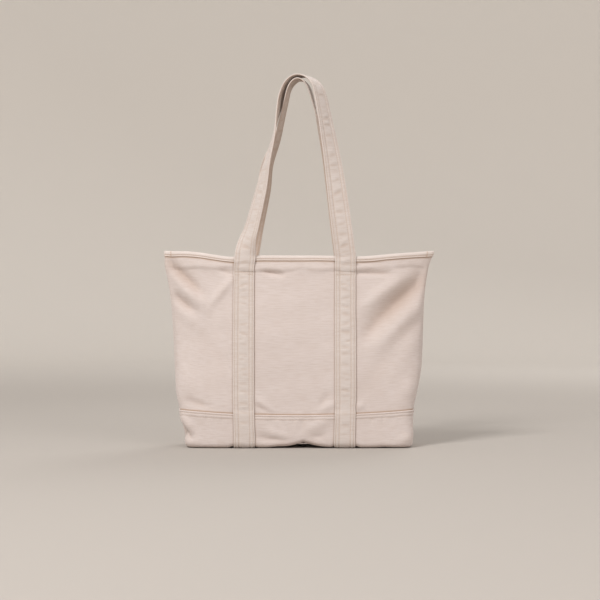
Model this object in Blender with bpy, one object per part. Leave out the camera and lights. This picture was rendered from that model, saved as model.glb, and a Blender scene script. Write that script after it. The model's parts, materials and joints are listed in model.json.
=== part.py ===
"""A canvas tote bag that stands on its base, with its two long handles up.

The bag is cut and sewn from flat cloth, so most pieces are layers over one pattern: a column s across
the bag and a row h up from the lower edge of the cloth. inner_point() lays that pattern on the inside
of the cloth, and each layer lies a little further out. The rear is the front turned over the XZ plane.
Metres, +Z up, the front at -Y.
"""

import math
from functools import lru_cache

import bmesh
import bpy
import numpy as np
from mathutils import Vector

# The bag
MOUTH_WIDTH = 0.478  # between the side seams, at the mouth
BASE_WIDTH = 0.403
HEIGHT = 0.344  # floor to the cloth's top edge, in the middle
BASE_DEPTH = 0.104  # inside, front to rear
MOUTH_DEPTH = 0.048
SIDE_RISE = 0.009  # how much higher the rows run at the sides than in the middle

# Cloth layers
CLOTH = 0.0016
TAPE = 0.0010  # the bias binding and the facing are thinner
FLOOR_CLOTH = 0.0020
GAP = 0.0003  # between pieces that touch
BAND_HEIGHT = 0.056  # the second layer round the base
BINDING_HEIGHT = 0.008
FACING_HEIGHT = 0.025  # from the top edge down, inside
FACING_SHORT = 0.030  # the facing stops this far before each side seam

# Straps and handles
STRAP_WIDTH = 0.038
STRAP_THICK = 0.0024
STRAP_CENTRE = 0.0915  # from the middle of the bag
FREE_BELOW = 0.024  # the strap is sewn down up to this far below the top edge
HANDLE_RISE = 0.3295  # top edge of the cloth to the crown of the front handle
FOLD_GAP = 0.0010  # between the sewn-down strap and the free handle above it
STEP = 0.007  # the strap steps down off the base band over this height

# Seams and thread
SEAM_HALF = 0.0030  # half the width of a side seam, front to rear
SEAM_INSIDE = 0.0015  # how far the side seam stands into the bag
CORNER_SEAM = (0.0024, 0.008)  # thickness and height of the boxed corner's allowance
CORNER_CLEAR = 0.001  # from the ends of that allowance to the cloth
THREAD = 0.0005  # how far a row of stitches stands up
THREAD_WIDTH = 0.0008
EDGE_STITCH = 0.003  # a row's distance from the edge that it holds
BAND_ROWS = (0.0035, 0.0090)  # the band's two rows, down from its top edge
THREAD_START = 0.008  # the handle's stitching starts this far above the fold of the handle

# The pattern
FLAT_HALF = 0.150  # up to here a column is simply x
SIDE_SPAN = 0.120  # the columns from FLAT_HALF to the side seam
STRAP_COLUMNS = 2
LIFT = STRAP_THICK + GAP  # the straps run under the bag and carry it
CLOTH_HEIGHT = HEIGHT - LIFT
SPLIT = CLOTH_HEIGHT - FREE_BELOW
FRONT, REAR = 1, -1

CANVAS = ("natural_canvas", (0.80, 0.72, 0.65), 0.95)
WEBBING = ("self_fabric_strap", (0.79, 0.71, 0.64), 0.93)
BINDING = ("bias_binding", (0.78, 0.70, 0.63), 0.92)
SEWING = ("sewing_thread", (0.84, 0.77, 0.70), 0.70)

# The handles' free stretch, left to right: sideways as a share of STRAP_CENTRE, lean as a share of the
# strap's depth at the mouth, height as a share of HANDLE_RISE, and the turn of the strap about its own
# length in degrees: 0 faces out of the bag on the left, 90 faces along X, 180 faces out on the right.
FRONT_ROUTE = (
    (-0.920, 1.05, 0.090, 34),
    (-0.830, 1.05, 0.167, 46),
    (-0.665, 0.98, 0.376, 65),
    (-0.560, 0.92, 0.516, 78),
    (-0.425, 0.74, 0.656, 87),
    (-0.322, 0.40, 0.795, 97),
    (-0.245, 0.05, 0.890, 105),
    (-0.110, -0.06, 0.966, 110),
    (0.077, 0.00, 1.000, 112),
    (0.262, 0.18, 0.984, 116),
    (0.405, 0.34, 0.940, 121),
    (0.486, 0.44, 0.885, 125),
    (0.585, 0.58, 0.783, 131),
    (0.716, 0.80, 0.583, 143),
    (0.790, 0.92, 0.452, 153),
    (0.858, 1.00, 0.313, 163),
    (0.929, 1.05, 0.167, 171),
)
REAR_ROUTE = (
    (-0.880, 1.02, 0.090, 16),
    (-0.810, 1.05, 0.167, 30),
    (-0.607, 1.00, 0.376, 48),
    (-0.505, 0.97, 0.516, 58),
    (-0.325, 0.96, 0.656, 72),
    (-0.175, 0.64, 0.785, 86),
    (-0.120, 0.28, 0.880, 90),
    (-0.040, 0.05, 0.938, 90),
    (0.080, 0.00, 0.963, 90),
    (0.190, 0.00, 0.948, 90),
    (0.270, 0.02, 0.903, 90),
    (0.345, 0.10, 0.845, 92),
    (0.455, 0.32, 0.747, 98),
    (0.630, 0.70, 0.583, 114),
    (0.730, 0.87, 0.452, 128),
    (0.830, 0.98, 0.313, 145),
    (0.920, 1.05, 0.167, 163),
)
ROUTE_STEPS = 2  # cross-sections from one point of a route to the next


def smooth(t):
    t = min(max(t, 0.0), 1.0)
    return t * t * (3 - 2 * t)


def half_width(h):
    """Half the bag's width at height h: the sides swell out of the boxed base and flare to the mouth."""
    t = min(max(h / CLOTH_HEIGHT, 0.0), 1.0)
    share = 0.40 * smooth(t / 0.42) + 0.10 * t + 0.50 * t**3.5
    return BASE_WIDTH / 2 + (MOUTH_WIDTH - BASE_WIDTH) / 2 * share


@lru_cache(maxsize=None)
def section(h):
    """The front half of the inside outline at height h: a soft-cornered box at the base that closes
    to a lens at the mouth. Gives x, depth and length along it, from the middle to the side seam."""
    t = min(max(h / CLOTH_HEIGHT, 0.0), 1.0)
    depth = (BASE_DEPTH + (MOUTH_DEPTH - BASE_DEPTH) * t) / 2
    end = SEAM_HALF + GAP
    turn = math.pi / 2 * np.linspace(1, 0, 900) ** 4
    x = half_width(h) * np.maximum(np.cos(turn), 0) ** (0.2 + 0.7 * t)
    y = end + (depth - end) * np.sin(turn) ** (0.24 + 1.76 * t**1.5)
    along = np.concatenate([[0], np.cumsum(np.hypot(np.diff(x), np.diff(y)))])
    return x, y, along


def inner_point(s, h):
    """Where column s and row h of the pattern lie on the inside of the front's cloth."""
    x, y, along = section(h)
    if abs(s) <= FLAT_HALF:
        across, depth = abs(s), np.interp(abs(s), x, y)
    else:
        start = np.interp(FLAT_HALF, x, along)
        at = start + (abs(s) - FLAT_HALF) / SIDE_SPAN * (along[-1] - start)
        across, depth = np.interp(at, along, x), np.interp(at, along, y)
    rise = SIDE_RISE * (across / half_width(h)) ** 2 * smooth(h / BAND_HEIGHT)
    return Vector((math.copysign(across, s), -depth, LIFT + h + rise))


def place(s, h, out, side=FRONT):
    """The point at column s and row h that stands out from the inside of the cloth by out."""
    step, end = 0.0005, FLAT_HALF + SIDE_SPAN
    across = inner_point(min(s + step, end), h) - inner_point(max(s - step, -end), h)
    up = inner_point(s, h + step) - inner_point(s, h - step)
    point = inner_point(s, h) + across.cross(up).normalized() * out
    return Vector((point.x, point.y * side, point.z))


def material(finish):
    name, colour, roughness = finish
    found = bpy.data.materials.get(name)
    if found:
        return found
    made = bpy.data.materials.new(name)
    made.use_nodes = True
    shader = made.node_tree.nodes["Principled BSDF"]
    shader.inputs["Base Color"].default_value = (*colour, 1)
    shader.inputs["Roughness"].default_value = roughness
    shader.inputs["Metallic"].default_value = 0
    made.diffuse_color = (*colour, 1)
    return made


def add_object(name, mesh, finish, centre=(0, 0, 0)):
    """Ends a bmesh as an object whose origin is at centre."""
    bmesh.ops.recalc_face_normals(mesh, faces=mesh.faces)
    if mesh.calc_volume(signed=True) < 0:
        bmesh.ops.reverse_faces(mesh, faces=mesh.faces)
    bmesh.ops.translate(mesh, verts=mesh.verts, vec=-Vector(centre))
    data = bpy.data.meshes.new(name)
    mesh.to_mesh(data)
    mesh.free()
    data.shade_smooth()
    data.set_sharp_from_angle(angle=math.radians(40))
    data.materials.append(material(finish))
    piece = bpy.data.objects.new(name, data)
    piece.location = centre
    bpy.context.scene.collection.objects.link(piece)
    return piece


def grid_solid(name, across, up, inner_at, outer_at, finish, centre=(0, 0, 0)):
    """A sheet of across by up points with a thickness: a grid is extruded, then its first side goes
    to inner_at(i, j) and its second to outer_at(i, j)."""
    mesh = bmesh.new()
    bmesh.ops.create_grid(mesh, x_segments=across - 1, y_segments=up - 1, size=0.5)
    raised = bmesh.ops.extrude_face_region(mesh, geom=mesh.faces[:])["geom"]
    second = {element for element in raised if isinstance(element, bmesh.types.BMVert)}
    for vert in mesh.verts:
        i = round((vert.co.x + 0.5) * (across - 1))
        j = round((vert.co.y + 0.5) * (up - 1))
        vert.co = outer_at(i, j) if vert in second else inner_at(i, j)
    return add_object(name, mesh, finish, centre)


def layer(name, columns, inner, outer, side, finish):
    """A layer of cloth over the pattern's columns. inner and outer give each row's height and offset."""
    grid_solid(
        name,
        len(columns),
        len(inner),
        lambda i, j: place(columns[i], *inner[j], side),
        lambda i, j: place(columns[i], *outer[j], side),
        finish,
    )


def flat_layer(name, columns, rows, inner, thick, side, finish):
    """A layer of one thickness at one offset."""
    layer(
        name,
        columns,
        [(h, inner) for h in rows],
        [(h, inner + thick) for h in rows],
        side,
        finish,
    )


def strap_offset(h):
    """How far out the strap lies: over the base band and its stitching it lies higher than above."""
    over_band = 2 * CLOTH + THREAD + 3 * GAP
    over_cloth = CLOTH + GAP
    return over_band + (over_cloth - over_band) * smooth((h - BAND_HEIGHT - 0.001) / STEP)


def box(name, low, high, finish):
    mesh = bmesh.new()
    bmesh.ops.create_cube(mesh, size=1)
    size = [b - a for a, b in zip(low, high)]
    bmesh.ops.scale(mesh, verts=mesh.verts, vec=size)
    middle = [(a + b) / 2 for a, b in zip(low, high)]
    bmesh.ops.translate(mesh, verts=mesh.verts, vec=middle)
    return add_object(name, mesh, finish)


# Columns and rows that the layers share, so that their facets lie parallel


def strap_columns(centre):
    steps = np.linspace(-STRAP_WIDTH / 2, STRAP_WIDTH / 2, STRAP_COLUMNS + 1)
    return [centre + float(step) for step in steps]


def half_columns():
    inside = STRAP_CENTRE - STRAP_WIDTH / 2
    middle = [float(v) for v in np.linspace(0, inside, 4)[:-1]]
    outside = [STRAP_CENTRE + STRAP_WIDTH / 2 + 0.014, FLAT_HALF]
    side = [FLAT_HALF + SIDE_SPAN * share for share in (0.22, 0.42, 0.58, 0.72, 0.85, 1)]
    return middle + strap_columns(STRAP_CENTRE) + outside + side


RIGHT = half_columns()
COLUMNS = [-s for s in reversed(RIGHT[1:])] + RIGHT
BAND_LINES = [0, (BAND_HEIGHT - BAND_ROWS[1]) / 2] + [BAND_HEIGHT - row for row in (*BAND_ROWS[::-1], 0)]
BINDING_LOW = CLOTH_HEIGHT - BINDING_HEIGHT
FACING_LOW = CLOTH_HEIGHT - FACING_HEIGHT
UPPER_LINES = [float(v) for v in np.linspace(BAND_HEIGHT, FACING_LOW, 7)][1:] + [BINDING_LOW, CLOTH_HEIGHT]


def shell(word, side):
    """One half of the bag: cloth, base band, facing, binding and the two sewn-down straps."""
    flat_layer(f"{word}_panel", COLUMNS, BAND_LINES + UPPER_LINES, 0, CLOTH, side, CANVAS)
    flat_layer(f"{word}_band", COLUMNS, BAND_LINES, CLOTH + GAP, CLOTH, side, CANVAS)
    facing_end = FLAT_HALF + SIDE_SPAN * (1 - FACING_SHORT / (MOUTH_WIDTH / 2 - FLAT_HALF))
    facing_columns = [s for s in COLUMNS if abs(s) <= facing_end]
    facing_rows = [FACING_LOW, BINDING_LOW - GAP]
    flat_layer(f"{word}_facing", facing_columns, facing_rows, -GAP - TAPE, TAPE, side, CANVAS)

    near, far, top = CLOTH + GAP, -GAP, CLOTH_HEIGHT + GAP
    folded = [(BINDING_LOW, near), (top, near), (top, far), (BINDING_LOW, far)]
    outside = [
        (BINDING_LOW, near + TAPE),
        (top + TAPE, near + TAPE),
        (top + TAPE, far - TAPE),
        (BINDING_LOW, far - TAPE),
    ]
    layer(f"{word}_binding", COLUMNS, folded, outside, side, BINDING)
    for hand, sign in (("left", -1), ("right", 1)):
        sewn_strap(word, hand, side, sign * STRAP_CENTRE)
    straight_seams(word, side)


def strap_rows():
    lower = [-LIFT] + BAND_LINES[:-1] + [BAND_HEIGHT + 0.001]
    step = [BAND_HEIGHT + 0.001 + STEP * share for share in (1 / 3, 2 / 3, 1)]
    upper = [h for h in UPPER_LINES if step[-1] + 0.004 < h < SPLIT - 0.004]
    return lower + step + upper + [SPLIT]


def sewn_strap(word, hand, side, centre):
    """The stretch of strap that is sewn to the bag, and the thread that runs up one edge of it,
    across below the free handle, and down the other edge."""
    rows = strap_rows()
    columns = strap_columns(centre)
    inner = [(h, strap_offset(h)) for h in rows]
    outer = [(h, strap_offset(h) + STRAP_THICK) for h in rows]
    layer(f"{word}_strap_{hand}", columns, inner, outer, side, WEBBING)

    reach = STRAP_WIDTH / 2 - EDGE_STITCH
    top = SPLIT - EDGE_STITCH
    climb = [h for h in rows[1:] if h < top - 0.002]
    up = [(centre - reach, h) for h in climb]
    across = [(s, top) for s in [centre - reach] + columns[1:-1] + [centre + reach]]
    down = [(centre + reach, h) for h in reversed(climb)]
    stitching(f"{word}_strap_stitching_{hand}", up + across + down, strap_offset, side)


def stitching(name, route, offset, side, thick=STRAP_THICK):
    """A row of thread along a route of pattern points, lying on a piece thick enough to reach
    from offset(h) to its face. Corners of the route are mitred."""
    count = len(route)
    sides = []
    for i in range(count):
        normals = []
        for a, b in ((i - 1, i), (i, i + 1)):
            if a < 0 or b >= count:
                continue
            ds, dh = route[b][0] - route[a][0], route[b][1] - route[a][1]
            length = math.hypot(ds, dh)
            normals.append((-dh / length, ds / length))
        both = [sum(n[k] for n in normals) for k in (0, 1)]
        scale = len(normals) * THREAD_WIDTH / 2 / (both[0] ** 2 + both[1] ** 2)
        sides.append((both[0] * scale, both[1] * scale))

    def at(i, j, lift):
        (s, h), (ds, dh) = route[i], sides[i]
        sign = 2 * j - 1
        return place(s + sign * ds, h + sign * dh, offset(h) + thick + GAP + lift, side)

    grid_solid(name, count, 2, lambda i, j: at(i, j, 0), lambda i, j: at(i, j, THREAD), SEWING)


def straight_seams(word, side):
    """The rows that run round the bag and under the straps: two below the band's top edge and one
    along the binding."""
    edge = FLAT_HALF + SIDE_SPAN * 0.9
    columns = [s for s in COLUMNS if abs(s) <= edge]
    for word_row, down in zip(("upper", "lower"), BAND_ROWS):
        row = [(s, BAND_HEIGHT - down) for s in columns]
        stitching(f"{word}_band_stitching_{word_row}", row, lambda h: CLOTH + GAP, side, CLOTH)
    row = [(s, BINDING_LOW + BINDING_HEIGHT * 0.4) for s in columns]
    stitching(f"{word}_binding_stitching", row, lambda h: CLOTH + GAP, side, TAPE)


def seam_pieces():
    """What joins the two halves: the bag's floor, the side seams, the boxed corners' allowances
    and the stretches of strap that pass under the floor."""
    half = half_width(0)
    limit = half - SEAM_INSIDE - GAP
    rim = [place(s, 0, -GAP) for s in COLUMNS] + [place(s, 0, -GAP, REAR) for s in reversed(COLUMNS)]
    mesh = bmesh.new()
    bmesh.ops.create_circle(mesh, cap_ends=True, segments=len(rim), radius=1)
    mesh.verts.ensure_lookup_table()
    for vert, point in zip(mesh.verts, rim):
        vert.co = (math.copysign(min(abs(point.x), limit), point.x), point.y, LIFT)
    raised = bmesh.ops.extrude_face_region(mesh, geom=mesh.faces[:])["geom"]
    top = [element for element in raised if isinstance(element, bmesh.types.BMVert)]
    bmesh.ops.translate(mesh, verts=top, vec=(0, 0, FLOOR_CLOTH))
    add_object("base_floor", mesh, CANVAS)

    thick, tall = CORNER_SEAM
    outer = limit - GAP
    facets = [[inner_point(s, h) for s in RIGHT] for h in BAND_LINES[:2]]
    depths = [np.interp(outer, [p.x for p in row], [-p.y for p in row]) for row in facets]
    reach = float(min(depths)) - CORNER_CLEAR
    bottom = LIFT + FLOOR_CLOTH + GAP
    rows = BAND_LINES + UPPER_LINES[:-2] + [BINDING_LOW - GAP]
    for hand, sign in (("left", -1), ("right", 1)):
        low, high = sorted((sign * (outer - thick), sign * outer))
        box(f"corner_seam_{hand}", (low, -reach, bottom), (high, reach, bottom + tall), CANVAS)

        def seam_at(i, j, out, sign=sign):
            height = LIFT + rows[j] + SIDE_RISE * smooth(rows[j] / BAND_HEIGHT)
            return Vector((sign * (half_width(rows[j]) + out), (2 * i - 1) * SEAM_HALF, height))

        grid_solid(
            f"side_seam_{hand}",
            2,
            len(rows),
            lambda i, j, at=seam_at: at(i, j, -SEAM_INSIDE),
            lambda i, j, at=seam_at: at(i, j, CLOTH),
            CANVAS,
        )
        centre = sign * STRAP_CENTRE
        ends = [abs(place(s, 0, strap_offset(0)).y) for s in strap_columns(centre)]
        end = min(ends) - GAP
        low = (centre - STRAP_WIDTH / 2, -end, 0)
        box(f"under_strap_{hand}", low, (centre + STRAP_WIDTH / 2, end, STRAP_THICK), WEBBING)


def route_points(route, side):
    """The stations of a handle with both sewn-down ends: place, and turn in degrees."""
    over_cloth = CLOTH + 2 * GAP
    over_binding = CLOTH + TAPE + THREAD + 4 * GAP
    ends = []
    for h, out in (
        (SPLIT + FOLD_GAP, over_cloth),
        (CLOTH_HEIGHT - BINDING_HEIGHT - 0.003, over_binding),
        (CLOTH_HEIGHT + 0.004, over_binding),
    ):
        edges = [place(-STRAP_CENTRE + sign * STRAP_WIDTH / 2, h, out) for sign in (-1, 1)]
        middle, across = (edges[0] + edges[1]) / 2, edges[1] - edges[0]
        highest = max(edge.z for edge in edges)
        ends.append((middle.x, middle.y, highest, math.degrees(math.atan2(-across.y, across.x))))
    depth = -ends[-1][1]
    free = []
    for share, lean, height, turn in route:
        high = HEIGHT + height * HANDLE_RISE
        free.append((share * STRAP_CENTRE, -lean * depth, high, turn))
    right = [(-x, y, z, 180 - turn) for x, y, z, turn in reversed(ends)]
    return [(x, y * side, z, turn) for x, y, z, turn in ends + free + right]


def through(stations, steps):
    """A smooth curve through the stations, with steps points from each to the next."""
    points = np.array(stations)
    before = np.vstack([2 * points[0] - points[1], points[:-1]])
    after = np.vstack([points[1:], 2 * points[-1] - points[-2]])
    slopes = (after - before) / 2
    slopes[0], slopes[-1] = points[1] - points[0], points[-1] - points[-2]
    line = []
    for k in range(len(points) - 1):
        for t in np.arange(steps) / steps:
            a, b = (1 + 2 * t) * (1 - t) ** 2, t * (1 - t) ** 2
            c, d = t * t * (3 - 2 * t), t * t * (t - 1)
            line.append(a * points[k] + b * slopes[k] + c * points[k + 1] + d * slopes[k + 1])
    return np.array(line + [points[-1]])


def handle_frames(route, side):
    """Centre, across and out of the handle at each cross-section."""
    line = through(route_points(route, side), ROUTE_STEPS)
    frames = []
    for i, (x, y, z, turn) in enumerate(line):
        ahead = line[min(i + 1, len(line) - 1), :3] - line[max(i - 1, 0), :3]
        along = Vector(ahead).normalized()
        angle = math.radians(turn)
        across = Vector((math.cos(angle), -side * math.sin(angle), 0))
        out = (across.cross(along) * side).normalized()
        across = (along.cross(out) * side).normalized()
        frames.append((Vector((x, y, z)), across, out))
    return frames


def handle(word, route, side):
    """The free loop of one strap, with a row of thread along each edge. Its origin lies on the fold
    where it leaves the sewn-down straps."""
    frames = handle_frames(route, side)
    face = strap_offset(SPLIT) + STRAP_THICK
    depth = max(-place(s, SPLIT, face).y for s in strap_columns(STRAP_CENTRE))
    fold = Vector((0, -side * depth, place(STRAP_CENTRE, SPLIT, face).z))

    def at(i, offset, lift, chosen=frames):
        centre, across, out = chosen[i]
        return centre + across * offset + out * lift

    middle = STRAP_WIDTH / 2 - EDGE_STITCH
    lanes = (middle - THREAD_WIDTH / 2, middle + THREAD_WIDTH / 2)
    right = [*lanes, STRAP_WIDTH / 2]
    columns = [-offset for offset in reversed(right)] + right
    grid_solid(
        f"{word}_handle",
        len(frames),
        len(columns),
        lambda i, j: at(i, columns[j], 0),
        lambda i, j: at(i, columns[j], STRAP_THICK),
        WEBBING,
        fold,
    )
    first = next(i for i, frame in enumerate(frames) if frame[0].z > frames[0][0].z + THREAD_START)
    sewn = frames[first : len(frames) - first]
    low = STRAP_THICK + GAP
    for edge, sign in (("inner", 1), ("outer", -1)):
        grid_solid(
            f"{word}_handle_stitching_{edge}",
            len(sewn),
            2,
            lambda i, j, sign=sign: at(i, sign * lanes[j], low, sewn),
            lambda i, j, sign=sign: at(i, sign * lanes[j], low + THREAD, sewn),
            SEWING,
            fold,
        )


def main():
    for old in list(bpy.data.objects):
        bpy.data.objects.remove(old, do_unlink=True)
    seam_pieces()
    shell("front", FRONT)
    shell("rear", REAR)
    handle("front", FRONT_ROUTE, FRONT)
    handle("rear", REAR_ROUTE, REAR)


main()
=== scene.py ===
"""The looks of a canvas tote bag: soft sewn cloth over the frame of its CAD model.

Every layer of cloth is laid over one draped surface per side of the bag. A place on it is a column s
across the pattern, a row h up from the bottom edge, and how far out of the surface a layer lies.
"""

import json
import math

import bmesh
import bpy
import numpy as np
from mathutils import Matrix, Vector


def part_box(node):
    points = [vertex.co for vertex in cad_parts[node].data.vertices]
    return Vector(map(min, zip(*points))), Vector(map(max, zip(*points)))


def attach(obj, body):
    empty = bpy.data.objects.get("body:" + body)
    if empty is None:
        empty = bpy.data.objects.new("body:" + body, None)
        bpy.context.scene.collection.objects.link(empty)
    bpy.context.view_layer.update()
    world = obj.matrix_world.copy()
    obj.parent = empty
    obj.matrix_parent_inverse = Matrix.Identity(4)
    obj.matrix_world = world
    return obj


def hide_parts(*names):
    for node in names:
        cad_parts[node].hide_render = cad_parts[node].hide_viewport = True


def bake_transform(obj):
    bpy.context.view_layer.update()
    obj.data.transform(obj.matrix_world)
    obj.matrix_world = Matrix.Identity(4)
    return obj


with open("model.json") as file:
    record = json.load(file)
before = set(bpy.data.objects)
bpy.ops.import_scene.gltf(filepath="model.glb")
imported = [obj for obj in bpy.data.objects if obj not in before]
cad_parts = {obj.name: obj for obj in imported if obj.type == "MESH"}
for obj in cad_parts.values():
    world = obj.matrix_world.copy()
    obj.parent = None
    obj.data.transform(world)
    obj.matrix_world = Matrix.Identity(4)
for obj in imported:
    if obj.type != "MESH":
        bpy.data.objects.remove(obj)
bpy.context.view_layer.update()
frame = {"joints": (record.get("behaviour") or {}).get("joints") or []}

# Cloth and thread, in metres
CLOTH = 0.0016
TAPE = 0.0010
STRAP_THICK = 0.0024
GAP = 0.0003
STITCH_LENGTH = 0.0028
STITCH_PITCH = 0.0036
THREAD = 0.00075

# Sizes that the frame gives
floor_low, floor_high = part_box("base_floor")
panel_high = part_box("front_panel")[1]
strap_low, strap_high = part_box("under_strap_right")
front_fold = Vector(next(j["pos_m"] for j in frame["joints"] if j["name"] == "front_handle_fold"))
SIDE_RISE = 0.009
LIFT = floor_low.z
BASE_HALF = floor_high.x + 0.0018
BASE_DEPTH = floor_high.y + GAP
MOUTH_HALF = panel_high.x - GAP
MOUTH_DEPTH = 0.024
CLOTH_HEIGHT = panel_high.z - SIDE_RISE - LIFT
BAND_HEIGHT = 0.056
STRAP_CENTRE = (strap_low.x + strap_high.x) / 2
STRAP_WIDTH = strap_high.x - strap_low.x
BINDING_HEIGHT = 0.008
BINDING_ROW = 0.0032  # the binding's row of stitches, up from its lower edge
FACING_HEIGHT = 0.025
FACING_HALF = 0.214
BAND_ROWS = (0.0035, 0.0090)  # the band's rows of stitches, down from its top edge
FOLD = front_fold.z - LIFT - 0.0012  # the row where a strap leaves the bag
HANDLE_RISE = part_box("front_handle")[1].z - CLOTH_HEIGHT - LIFT - STRAP_THICK
MOUTH_Z = CLOTH_HEIGHT + LIFT

# The layers, out from the inside of the cloth
OVER_CLOTH = CLOTH + GAP
OVER_BAND = 2 * CLOTH + 2 * GAP
OVER_BINDING = CLOTH + TAPE + 3 * GAP
BOTTOM = LIFT + 2 * CLOTH + 2 * GAP  # the height of the cloth's inside where it turns under the bag
TURN_RADIUS = 0.0045  # of the soft fold where the sides turn under
TURNED_UNDER = 0.007
FLAT_HALF = 0.150
SIDE_SPAN = 0.120
TIP = 0.0042  # the columns past the side span close the cloth round the side seam
SEAM_HALF = 0.0033
LAST = FLAT_HALF + SIDE_SPAN + TIP
PINCH = LAST - 0.017  # the column where the side seam pinches the binding
CLOTH_STEP = 0.0028  # how far apart the rows and columns of a cloth's mesh lie
STRAP_EDGES = [sign * STRAP_CENTRE + edge * STRAP_WIDTH / 2 for sign in (-1, 1) for edge in (-1, 1)]


def smooth(t):
    t = np.clip(t, 0, 1)
    return t * t * (3 - 2 * t)


def bump(value, centre, width):
    return np.exp(-(((value - centre) / width) ** 2))


# The draped surface


def half_width(h):
    """The sides swell out of the boxed base and flare to the mouth."""
    t = np.clip(h / CLOTH_HEIGHT, 0, 1)
    share = 0.40 * smooth(t / 0.42) + 0.10 * t + 0.50 * t**3.5
    return BASE_HALF + (MOUTH_HALF - BASE_HALF) * share


def outline(h, s):
    """Plan of the front half at row h: x and depth at the columns s >= 0."""
    t = float(np.clip(h / CLOTH_HEIGHT, 0, 1))
    depth = BASE_DEPTH + (MOUTH_DEPTH - BASE_DEPTH) * t
    turn = math.pi / 2 * np.linspace(1, 0, 900) ** 4
    x = half_width(h) * np.maximum(np.cos(turn), 0) ** (0.2 + 0.7 * t)
    y = SEAM_HALF + (depth - SEAM_HALF) * np.sin(turn) ** (0.24 + 1.76 * t**1.5)
    along = np.concatenate([[0], np.cumsum(np.hypot(np.diff(x), np.diff(y)))])
    start = np.interp(FLAT_HALF, x, along)
    at = start + (s - FLAT_HALF) / SIDE_SPAN * (along[-1] - start)
    at = np.where(s <= FLAT_HALF, np.interp(s, x, along), at)
    across, deep = np.interp(at, along, x), np.interp(at, along, y)
    quarter = np.clip((s - FLAT_HALF - SIDE_SPAN) / TIP, 0, 1) * math.pi / 2
    across = across + 0.8 * SEAM_HALF * np.sin(quarter)
    deep = np.where(quarter > 0, 0.00015 + (SEAM_HALF - 0.00015) * np.cos(quarter), deep)
    return across, deep


# Soft folds: from (x, z) to (x, z), how far out, and how wide. Metres.
FRONT_FOLDS = (
    ((-0.234, 0.338), (-0.172, 0.278), -0.0096, 0.010),
    ((-0.224, 0.318), (-0.162, 0.251), 0.0066, 0.011),
    ((-0.220, 0.276), (-0.184, 0.246), -0.0066, 0.008),
    ((-0.214, 0.258), (-0.180, 0.222), 0.0024, 0.010),
    ((-0.180, 0.330), (-0.122, 0.318), 0.0016, 0.010),
    ((-0.150, 0.258), (-0.113, 0.304), 0.0036, 0.007),
    ((-0.136, 0.319), (-0.113, 0.313), -0.0030, 0.004),
    ((-0.196, 0.150), (-0.186, 0.095), 0.0022, 0.012),
    ((-0.196, 0.085), (-0.150, 0.073), -0.0026, 0.007),
    ((-0.180, 0.205), (-0.128, 0.150), -0.0012, 0.016),
    ((-0.206, 0.042), (-0.184, 0.018), -0.0070, 0.0055),
    ((-0.196, 0.014), (-0.170, 0.005), 0.0036, 0.008),
    ((-0.200, 0.056), (-0.184, 0.034), 0.0040, 0.006),
    ((0.238, 0.308), (0.142, 0.220), -0.0115, 0.0175),
    ((0.150, 0.226), (0.122, 0.190), -0.0030, 0.013),
    ((0.232, 0.266), (0.150, 0.182), 0.0052, 0.016),
    ((0.200, 0.308), (0.118, 0.248), 0.0044, 0.013),
    ((0.228, 0.232), (0.176, 0.186), -0.0018, 0.014),
    ((0.222, 0.200), (0.186, 0.144), 0.0020, 0.015),
    ((0.168, 0.160), (0.120, 0.100), -0.0016, 0.018),
    ((0.210, 0.122), (0.200, 0.088), 0.0032, 0.013),
    ((0.205, 0.022), (0.188, 0.006), 0.0036, 0.009),
    ((-0.058, 0.317), (-0.020, 0.311), -0.0042, 0.0042),
    ((-0.066, 0.324), (-0.022, 0.322), 0.0016, 0.005),
    ((0.000, 0.318), (0.064, 0.321), 0.0012, 0.006),
    ((0.111, 0.315), (0.172, 0.314), -0.0040, 0.0048),
    ((0.111, 0.322), (0.190, 0.320), 0.0016, 0.006),
    ((0.112, 0.331), (0.160, 0.332), -0.0014, 0.004),
    ((-0.068, 0.086), (-0.038, 0.066), 0.0024, 0.006),
    ((-0.070, 0.078), (-0.050, 0.066), -0.0018, 0.005),
    ((0.072, 0.080), (0.046, 0.066), 0.0024, 0.006),
    ((0.060, 0.094), (0.044, 0.074), -0.0014, 0.006),
    ((0.124, 0.080), (0.112, 0.070), 0.0020, 0.005),
    ((0.020, 0.030), (0.062, 0.052), 0.0020, 0.010),
    ((-0.066, 0.022), (-0.004, 0.006), -0.0034, 0.008),
    ((-0.050, 0.032), (-0.014, 0.018), 0.0022, 0.007),
    ((0.028, 0.014), (0.056, 0.024), -0.0022, 0.007),
    ((0.010, 0.024), (0.026, 0.060), -0.0012, 0.008),
)
REAR_FOLDS = (
    ((-0.232, 0.340), (-0.150, 0.245), -0.0085, 0.013),
    ((-0.220, 0.296), (-0.150, 0.190), 0.0056, 0.014),
    ((-0.216, 0.225), (-0.176, 0.170), -0.0040, 0.011),
    ((-0.180, 0.318), (-0.113, 0.314), -0.0034, 0.005),
    ((0.234, 0.340), (0.176, 0.284), -0.0080, 0.010),
    ((0.222, 0.300), (0.160, 0.226), 0.0054, 0.012),
    ((0.216, 0.250), (0.180, 0.214), -0.0040, 0.009),
    ((0.206, 0.125), (0.190, 0.086), 0.0034, 0.012),
    ((-0.200, 0.110), (-0.150, 0.080), 0.0028, 0.011),
    ((-0.060, 0.300), (0.020, 0.230), -0.0022, 0.016),
    ((0.000, 0.314), (0.062, 0.316), -0.0036, 0.005),
    ((0.112, 0.150), (0.170, 0.090), -0.0020, 0.014),
    ((0.070, 0.084), (0.040, 0.066), 0.0022, 0.006),
    ((-0.070, 0.080), (-0.044, 0.067), 0.0022, 0.006),
    ((0.198, 0.050), (0.176, 0.018), -0.0070, 0.006),
    ((-0.050, 0.020), (0.030, 0.044), -0.0024, 0.010),
    ((-0.010, 0.006), (0.044, 0.012), 0.0024, 0.008),
)


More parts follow.
